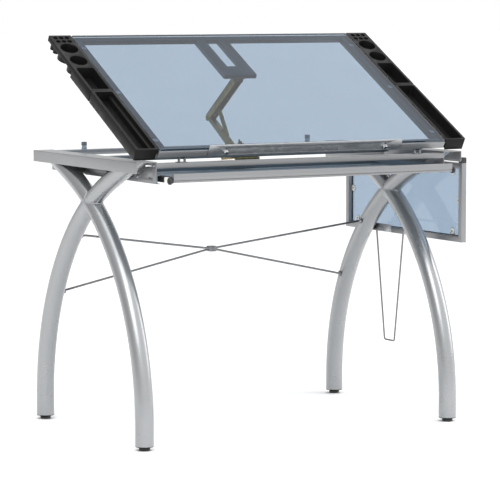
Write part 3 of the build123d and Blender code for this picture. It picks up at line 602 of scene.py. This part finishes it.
def weld_bead(name, side_name, sign):
    """Bead where a coped length meets the through leg; sign +1 is the lower length."""
    rng = random.Random(7 if sign > 0 else 11)
    points = []
    steps = 160
    for k in range(steps):
        a = 2 * math.pi * k / steps
        rho = BEND + LEG_RADIUS * math.cos(a)
        half = abs(LEG_RADIUS * math.cos(a))
        phi = leg_meet(rho, BEND - sign * half)
        p = leg_curve(rho, 1, phi=phi)
        points.append(Vector((leg_x[side_name] + LEG_RADIUS * math.sin(a), p.y, p.z)))
    bm = bmesh.new()
    wire(bm, points, WELD_RADIUS, 10, loop=True)
    for v in bm.verts:
        v.co += Vector([rng.uniform(-1, 1) for _ in range(3)]) * WELD_RIPPLE
    return piece(name, bm, "frame", WELD, angle=80)


for side_name in ("left", "right"):
    leg(f"bent_leg_{side_name}", side_name, -1, "through")
    leg(f"coped_leg_low_{side_name}", side_name, 1, "lower")
    leg(f"coped_leg_high_{side_name}", side_name, 1, "upper")
    weld_bead(f"weld_low_{side_name}", side_name, 1)
    weld_bead(f"weld_high_{side_name}", side_name, -1)


# ------------------------------------------------------------ feet
STUD_HOLE = 4.2 * MM
STUD_RADIUS = 3.6 * MM
STUD_START = 8.5 * MM               # above the foot's underside
HEX_CORNER = 9.8 * MM
HEX_SPAN = (8.1 * MM, 9.6 * MM)
THREAD_RADIUS = 0.38 * MM
THREAD_PITCH = 1.25 * MM
THREAD_START = 10 * MM
THREAD_STOP = 2 * MM                # below the stud's end
THREAD_STEPS = 16                   # in one turn


def stand(box):
    """Place with its origin in the middle of a box's underside."""
    c = middle(box)
    return Matrix.Translation((c.x, c.y, box[0].z))


bm = bmesh.new()
for low, high in islands("leg_caps"):
    place = stand((low, high))
    r = (high.x - low.x) / 2
    lathe(bm, place, [
        (STUD_HOLE, 0), (r - 0.0008, 0), (r - 0.0002, 0.0003), (r, 0.0009), (r, 0.0017),
        (r - 0.0004, 0.002), (r - 0.0018, 0.002), (r - 0.0018, 0.012), (STUD_HOLE, 0.012),
    ], 64)
piece("leg_cap_rings", bm, "frame", BLACK, ["leg_caps"])


def foot(corner):
    """Pad and threaded stud of one levelling foot."""
    node = f"leveler_{corner}"
    low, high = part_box(node)
    tall = high.z - low.z
    r = (high.x - low.x) / 2
    place = stand((low, high))
    bm = bmesh.new()
    lathe(bm, place, [
        (0, 0), (r - 0.0012, 0), (r - 0.0003, 0.0004), (r, 0.0012), (r, 0.0058), (r - 0.0004, 0.0068),
        (r - 0.0020, 0.0078), (0.0105, 0.0080), (0.0102, 0.0086),
    ], 72)
    hexagon(bm, place, HEX_CORNER, *HEX_SPAN, 0.2 * MM)
    piece(f"foot_pad_{corner}", bm, node, BLACK, [node])
    bm = bmesh.new()
    lathe(bm, place, [
        (0, STUD_START), (STUD_RADIUS, STUD_START), (STUD_RADIUS, tall - 0.001),
        (STUD_RADIUS - 0.001, tall), (0, tall),
    ], 32)
    turns = int((tall - THREAD_START - THREAD_STOP) / THREAD_PITCH)
    around = circle(STUD_RADIUS, THREAD_STEPS)
    thread = []
    for k in range(turns * THREAD_STEPS):
        x, y = around[k % THREAD_STEPS]
        thread.append(place @ Vector((x, y, THREAD_START + THREAD_PITCH * k / THREAD_STEPS)))
    wire(bm, thread, THREAD_RADIUS, 6)
    piece(f"foot_stud_{corner}", bm, node, BRIGHT, angle=60)


for corner in ("front_left", "front_right", "rear_left", "rear_right"):
    foot(corner)


# ------------------------------------------------------------ rails, pegs, braces
SOFT_EDGE = 0.3 * MM
TUBE_CORNER = 2.2 * MM

for node in ("rail_left", "rail_right"):
    dress(node, SILVER, SOFT_EDGE)
for node in ("rail_front", "rail_middle", "rail_rear"):
    bar(f"{node}_tube", node, "frame", SILVER, 0, TUBE_CORNER)


def outward(c):
    return 1 if c.x > MIDDLE_X else -1


def inward(c):
    """Towards the middle, but outward for the bolt of the bail's seat on the right leg."""
    on_seat = c.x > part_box("bail_catch")[0].x
    return 1 if on_seat else -outward(c)


bolts("frame_screws", "frame_bolts", outward)
bolts("leg_screws", "leg_bolts", inward)

bm = bmesh.new()
sleeve = bmesh.new()
for low, high in islands("rest_pegs"):
    r = (high.x - low.x) / 2
    tall = high.z - low.z
    place = stand((low, high))
    lathe(bm, place, [
        (0, tall * 0.5), (r - 0.0008, tall * 0.5), (r, tall * 0.55), (r, tall - 0.0016),
        (r - 0.0005, tall - 0.0006), (r - 0.0018, tall), (0, tall),
    ])
    lathe(sleeve, place, [
        (0, 0), (r - 0.0004, 0), (r - 0.0002, 0.0006), (r - 0.0009, tall * 0.5), (0, tall * 0.5),
    ])
piece("peg_caps", bm, "frame", PEG, ["rest_pegs"])
piece("peg_sleeves", sleeve, "frame", BUMPER)

dress("brace_rods", ROD)

# the end of the upper left rod bends past its bolt head to its eye
ROD_RADIUS = 3 * MM
eye, rod, _ = sorted(islands("brace_rods"), key=lambda box: box[1].x - box[0].x)
rod_y, rod_z = rod[0].y + ROD_RADIUS, rod[1].z - ROD_RADIUS
bm = bmesh.new()
eye_y = eye[0].y + ROD_RADIUS
wire(bm, smooth_corners([
    (rod[0].x + 2 * MM, rod_y, rod_z), (rod[0].x, rod_y, rod_z),
    (eye[1].x, eye_y, rod_z), (eye[1].x - 3 * MM, eye_y, rod_z),
], 1 * MM, 4), ROD_RADIUS, 20)
piece("rod_end", bm, "frame", ROD, angle=60)

# drawer_tracks and drawer_pan take the drawer's dark blue-grey painted shade
# lift_bracket takes the darker copy of the silver paint, as painted shade
for node, material in (
    ("drawer_tracks", DRAWER_SHADE), ("prop_base", YELLOW), ("hinge_base", STEEL), ("shelf_hinges", BRIGHT),
    ("bail_catch", BRIGHT), ("drawer_pan", DRAWER_SHADE), ("drawer_runners", BLACK),
    ("drawer_stops", NYLON), ("drawer_front", SILVER),
    ("lift_bracket", SILVER_SHADED), ("lift_clevis", YELLOW), ("hinge_top", STEEL),
    ("tray_strips", SILVER), ("prop_upper_arm", YELLOW), ("prop_lower_arm", YELLOW),
    ("prop_stay", YELLOW), ("shelf_clips", BRIGHT), ("bail_eyes", BRIGHT),
    ("shelf_caps", BLACK), ("pencil_ledge", ALUMINIUM),
    ("ledge_screws", CHROME), ("glass_pads", PAD), ("shelf_frame", SILVER),
    ("tray_rear_left", TRAY), ("tray_rear_right", TRAY), ("tray_front_left", TRAY),
    ("tray_front_right", TRAY), ("tray_wells_left", TRAY), ("tray_wells_right", TRAY),
):
    dress(node, material, SOFT_EDGE)

# the front tube takes the silver; the other three, under the glass, take its darker copy as painted shade
for node, axis, material in (
    ("top_tube_front", 0, SILVER), ("top_tube_rear", 0, SILVER_SHADED),
    ("top_tube_left", 1, SILVER_SHADED), ("top_tube_right", 1, SILVER_SHADED),
):
    bar(f"{node}_bar", node, "top", material, axis, TUBE_CORNER, TOP)


# ------------------------------------------------------------ wheels and pins
WHEEL_BORE = 3.12 * MM              # radius
WHEEL_SINK = 1.2 * MM               # depth of the sunk face


def wheels(name, node, body, material):
    """Ribbed wheels with a bore and a sunk face."""
    bm = bmesh.new()
    for low, high in islands(node):
        c = middle((low, high))
        r = (high.z - low.z) / 2
        wide = high.x - low.x
        place = frame_of((low.x, c.y, c.z), X)
        half = [
            (WHEEL_BORE, 0.0004), (0.0052, 0.0), (0.0056, 0.0004), (0.0060, WHEEL_SINK),
            (r - 0.0024, WHEEL_SINK), (r - 0.0016, 0.0002), (r - 0.0008, 0.0001), (r - 0.0001, 0.0009),
            (r, 0.0018),
        ]
        lathe(bm, place, half + [(a, wide - h) for a, h in reversed(half)], 56, loop=True)
    return piece(name, bm, body, material, [node], angle=40)


wheels("front_wheels", "drawer_wheels", "wheels", BLACK)
wheels("rear_rollers", "drawer_rollers", "rollers", NYLON)


PIN_RADIUS = 4 * MM
COLLAR_RADIUS = 6.5 * MM
SHORT_PIN = 40 * MM                 # too short for collars


def pins(name, node, body, collar=False):
    """Pins along X with domed, upset heads, and spacer collars on the long ones."""
    bm = bmesh.new()
    for low, high in islands(node):
        c = middle((low, high))
        head = (high.z - low.z) / 2
        half = (high.x - low.x) / 2
        place = frame_of((low.x, c.y, c.z), X)
        side = [
            (0, 0), (head * 0.45, 0.00015), (head * 0.75, 0.0006), (head * 0.95, 0.0013), (head, 0.0018),
            (head, 0.0020), (PIN_RADIUS, 0.0020),
        ]
        if collar and 2 * half > SHORT_PIN:
            side += [
                (PIN_RADIUS, 0.0056), (COLLAR_RADIUS - 0.0002, 0.0058), (COLLAR_RADIUS, 0.0060),
                (COLLAR_RADIUS, half - 0.0078), (PIN_RADIUS, half - 0.0076),
            ]
        lathe(bm, place, side + [(a, 2 * half - h) for a, h in reversed(side)], 40)
    return piece(name, bm, body, YELLOW, [node], angle=40)


pins("arm_pins", "prop_pins", "prop_lower", collar=True)
pins("lift_pin", "prop_top_pin", "top")

# clamp where the brace rods cross: two pressed plates and two screws
clamp_low, clamp_high = next(b for b in islands("leg_bolts") if b[1].x - b[0].x > LONGEST_BOLT)
clamp = middle((clamp_low, clamp_high))
half_depth = (clamp_high.y - clamp_low.y) / 2
half_gap = 0.9 * MM                 # between the plates
rim = 0.8 * MM
screw_height = 5.2 * MM             # from the clamp's middle
outline = rounded(clamp_low.x, clamp_high.x, clamp_low.z, clamp_high.z, 4 * MM)
bm = bmesh.new()
for sign in (-1, 1):
    near, far = sorted((clamp.y + sign * half_gap, clamp.y + sign * (half_depth - rim)))
    prism(bm, WORLD, 1, outline, near, far, rim)
for sign in (-1, 1):
    place = frame_of((clamp.x, clamp.y - half_depth + 1.2 * MM, clamp.z + sign * screw_height), -Y)
    socket_head(bm, place, 2.4 * MM, 1.6 * MM, 1 * MM)
piece("brace_clamp", bm, "frame", ROD)

# ------------------------------------------------------------ shelf fittings
low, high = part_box("shelf_bail")
BAIL_WIRE = (high.x - low.x) / 2
bail_x = middle((low, high)).x
bail_z = high.z - BAIL_WIRE
bail_foot_z = low.z + BAIL_WIRE
foot_half = 26 * MM                 # half the length of the wire's foot
bail_mid = (low.y + high.y) / 2
eye_run = 16 * MM                   # straight run through each eye
bm = bmesh.new()
wire(bm, smooth_corners([
    (bail_x, low.y, bail_z), (bail_x, low.y + eye_run, bail_z),
    (bail_x, bail_mid - foot_half, bail_foot_z), (bail_x, bail_mid + foot_half, bail_foot_z),
    (bail_x, high.y - eye_run, bail_z), (bail_x, high.y, bail_z),
], 7 * MM), BAIL_WIRE, 20)
piece("bail_wire", bm, "bail", ROD, ["shelf_bail"], angle=60)

# clip pads and screws, on the face away from the pane
CLIP_HOLE = 2.1 * MM
PAD_THICK = 1.2 * MM
pane_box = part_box("shelf_glass")
pane_mid = middle(pane_box)
pads, screws = bmesh.new(), bmesh.new()
for low, high in islands("shelf_clips"):
    c = middle((low, high))
    wide, tall = high.y - low.y, high.z - low.z
    r = min(wide, tall) / 2
    if wide > tall:
        tip = (high.y - r) if c.y < pane_mid.y else (low.y + r)
        place = frame_of((low.x, tip, c.z), -X)
    else:
        tip = (high.z - r) if c.z < pane_mid.z else (low.z + r)
        place = frame_of((low.x, c.y, tip), -X)
    lathe(pads, place, [
        (CLIP_HOLE, 0), (r - 0.0022, 0), (r - 0.0018, 0.0004), (r - 0.0022, PAD_THICK),
        (CLIP_HOLE, PAD_THICK),
    ], 36, loop=True)
    socket_head(screws, place @ Matrix.Translation((0, 0, PAD_THICK)), 3.6 * MM, 2 * MM, 1.4 * MM)
piece("clip_pads", pads, "shelf", NYLON)
piece("clip_screws", screws, "shelf", BRIGHT)

# seal between the pane and its frame
SEAL_GAP = 0.4 * MM
low, high = pane_box
seal = rounded(low.y - SEAL_GAP, high.y + SEAL_GAP, low.z - SEAL_GAP, high.z + SEAL_GAP, 3 * MM)
bm = bmesh.new()
wire(bm, [(pane_mid.x, u, w) for u, w in seal], 1.1 * MM, 10, loop=True)
piece("pane_seal", bm, "shelf", GASKET, angle=60)

# two screws near the upper edge of each shelf hinge
LEAF = 2 * MM
bm = bmesh.new()
for low, high in islands("shelf_hinges"):
    z = low.z + (high.z - low.z) * 0.8
    for across in (0.25, 0.75):
        y = low.y + (high.y - low.y) * across
        socket_head(bm, frame_of((low.x + LEAF, y, z), X), 3.2 * MM, 1.6 * MM, 1.2 * MM)
piece("shelf_hinge_screws", bm, "frame", CHROME)


# ------------------------------------------------------------ tray lips
BEAD_RADIUS = 0.8 * MM
MOUTH_LINE = 34.2 * MM              # of the mouths' middle, from the tray's inner edge
CUP_BACKS = (72 * MM, 138 * MM)     # of the cups, from the tray's rear end
CUP_LIP = 25.7 * MM
WELL_BACKS = (14 * MM, 33.5 * MM)
WELL_STEP = 17.5 * MM
WELL_LIP = 7.1 * MM
POCKET_BACKS = (291.7 * MM, 178.3 * MM)
POCKET_HALF = 26.7 * MM
POCKET_CORNER = 5.7 * MM
BIN_INSET = 5.3 * MM                # of a bin's mouth from the ends of its tray


def tray_lips(side_name):
    """Raised beads round the mouths of one pair of trays."""
    rear = islands(f"tray_rear_{side_name}", TOP)[0]
    front = islands(f"tray_front_{side_name}", TOP)[0]
    right = side_name == "right"
    x = rear[0].x + MOUTH_LINE if right else rear[1].x - MOUTH_LINE
    level = rear[1].z - 0.3 * MM
    end = max(high.y for low, high in islands(f"tray_wells_{side_name}", TOP))

    def bead(bm, outline):
        wire(bm, [TOP @ Vector((u, w, level)) for u, w in outline], BEAD_RADIUS, 8, loop=True)

    def round_bead(bm, cx, cy, r):
        bead(bm, [(cx + u, cy + w) for u, w in circle(r, 48)])

    def long_bead(bm, start, stop):
        bead(bm, rounded(x - POCKET_HALF, x + POCKET_HALF, start, stop, POCKET_CORNER))

    bm = bmesh.new()
    for back in CUP_BACKS:
        round_bead(bm, x, end - back, CUP_LIP)
    for back in WELL_BACKS:
        for k in (-1, 0, 1):
            round_bead(bm, x + k * WELL_STEP, end - back, WELL_LIP)
    long_bead(bm, end - POCKET_BACKS[0], end - POCKET_BACKS[1])
    piece(f"rear_tray_lips_{side_name}", bm, f"tray_rear_{side_name}", TRAY, angle=60)
    bm = bmesh.new()
    long_bead(bm, front[0].y + BIN_INSET, front[1].y - BIN_INSET)
    piece(f"front_tray_lips_{side_name}", bm, f"tray_front_{side_name}", TRAY, angle=60)


tray_lips("left")
tray_lips("right")


# ------------------------------------------------------------ glass
def pane(name, node, body, material, space, thin, radius, edge=0.6 * MM):
    """Glass slab with rounded corners; its edge faces are opaque and dark, a painted shade for the glass seen
    edge-on.
    """
    low, high = islands(node, space)[0]
    u, w = ACROSS[thin]
    outline = rounded(low[u], high[u], low[w], high[w], radius, 8)
    bm = bmesh.new()
    prism(bm, space, thin, outline, low[thin], high[thin], edge)
    normal = (space.to_3x3() @ Vector([1 if k == thin else 0 for k in range(3)])).normalized()
    bm.normal_update()
    for f in bm.faces:
        f.material_index = 0 if abs(f.normal.dot(normal)) > 0.99 else 1
    return piece(name, bm, body, material, [node], angle=25, more=(GLASS_EDGE_SHADE,))


pane("top_pane", "top_glass", "top", GLASS, TOP, 2, 6 * MM)
pane("shelf_pane", "shelf_glass", "shelf", SHELF_GLASS, WORLD, 0, 3 * MM)


# ------------------------------------------------------------ floor, light, camera
FLOOR_HALF = 60
FLOOR_DROP = 0.2 * MM               # below the feet, so that the two faces never meet


def floor():
    bm = bmesh.new()
    bmesh.ops.create_grid(bm, x_segments=8, y_segments=8, size=FLOOR_HALF)
    mesh = bpy.data.meshes.new("floor")
    bm.to_mesh(mesh)
    bm.free()
    s = Shader("floor_paint")
    s.link(s.ramp(s.noise(0.7, 2), [(0.3, grey(0.95)), (0.7, grey(0.97))]), s.bsdf.inputs["Base Color"])
    s.set(Roughness=0.9, Specular_IOR_Level=0.1)
    mesh.materials.append(s.material)
    obj = bpy.data.objects.new("floor", mesh)
    obj.location.z = -FLOOR_DROP
    bpy.context.scene.collection.objects.link(obj)
    obj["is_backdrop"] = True


def area_light(name, place, target, size, watts):
    data = bpy.data.lights.new(name, "AREA")
    data.shape = "RECTANGLE"
    data.size, data.size_y = size
    data.energy = watts
    obj = bpy.data.objects.new(name, data)
    obj.location = place
    obj.rotation_euler = (Vector(target) - Vector(place)).to_track_quat("-Z", "Y").to_euler()
    bpy.context.scene.collection.objects.link(obj)


# grey of the sky by height, from straight down (0) to straight up (1)
SKY = [(0.0, 0.9), (0.46, 0.85), (0.56, 0.80), (0.75, 0.95), (1.0, 1.0)]
LIT_FROM = (0.72, -0.62, 0.31)      # direction of the brighter half of the sky
SIDE_REACH = 0.75
SIDE_STRENGTH = (0.72, 1.5)         # of the darker and the brighter half


def studio():
    world = bpy.data.worlds.new("studio")
    bpy.context.scene.world = world
    world.use_nodes = True
    tree = world.node_tree
    tree.nodes.clear()
    out = tree.nodes.new("ShaderNodeOutputWorld")
    seen = tree.nodes.new("ShaderNodeBackground")
    seen.inputs["Color"].default_value = (1, 1, 1, 1)
    seen.inputs["Strength"].default_value = 1.0
    lit = tree.nodes.new("ShaderNodeBackground")
    coords = tree.nodes.new("ShaderNodeTexCoord")
    split = tree.nodes.new("ShaderNodeSeparateXYZ")
    ramp = tree.nodes.new("ShaderNodeValToRGB")
    half = tree.nodes.new("ShaderNodeMapRange")
    half.inputs["From Min"].default_value = -1
    tree.links.new(coords.outputs["Generated"], split.inputs[0])
    tree.links.new(split.outputs["Z"], half.inputs["Value"])
    tree.links.new(half.outputs[0], ramp.inputs["Fac"])
    while len(ramp.color_ramp.elements) < len(SKY):
        ramp.color_ramp.elements.new(0.5)
    for element, (place, level) in zip(ramp.color_ramp.elements, SKY):
        element.position = place
        element.color = grey(level)
    tree.links.new(ramp.outputs["Color"], lit.inputs["Color"])
    # darker towards the left and the back, so that round tubes get a dark side
    turn = tree.nodes.new("ShaderNodeVectorMath")
    turn.operation = "DOT_PRODUCT"
    turn.inputs[1].default_value = LIT_FROM
    tree.links.new(coords.outputs["Generated"], turn.inputs[0])
    side = tree.nodes.new("ShaderNodeMapRange")
    side.interpolation_type = "SMOOTHSTEP"
    side.inputs["From Min"].default_value = -SIDE_REACH
    side.inputs["From Max"].default_value = SIDE_REACH
    side.inputs["To Min"].default_value = SIDE_STRENGTH[0]
    side.inputs["To Max"].default_value = SIDE_STRENGTH[1]
    tree.links.new(turn.outputs["Value"], side.inputs["Value"])
    tree.links.new(side.outputs[0], lit.inputs["Strength"])
    mix = tree.nodes.new("ShaderNodeMixShader")
    path = tree.nodes.new("ShaderNodeLightPath")
    tree.links.new(path.outputs["Is Camera Ray"], mix.inputs[0])
    tree.links.new(lit.outputs[0], mix.inputs[1])
    tree.links.new(seen.outputs[0], mix.inputs[2])
    tree.links.new(mix.outputs[0], out.inputs["Surface"])


floor()
studio()
area_light("key", (-2.4, -3.2, 3.6), (0, 0, 0.5), (3.0, 3.0), 90)
area_light("overhead", (-0.6, -0.6, 3.6), (0, 0, 0.6), (3.6, 2.4), 30)
area_light("right", (3.2, -1.2, 1.8), (0, 0, 0.5), (1.2, 2.6), 30)
bpy.context.scene.view_settings.view_transform = "Standard"

CAMERA_PLACE = (-3.66625, -6.35135, 1.2097)
CAMERA_DOWN = 5.413                 # degrees below level
CAMERA_TURN = -29.88                # degrees from facing the back
camera_data = bpy.data.cameras.new("camera")
camera_data.lens = 188.06
camera_data.sensor_width = 36
camera = bpy.data.objects.new("camera", camera_data)
camera.location = CAMERA_PLACE
camera.rotation_euler = (math.radians(90 - CAMERA_DOWN), 0, math.radians(CAMERA_TURN))
bpy.context.scene.collection.objects.link(camera)
bpy.context.scene.camera = camera

low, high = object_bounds()
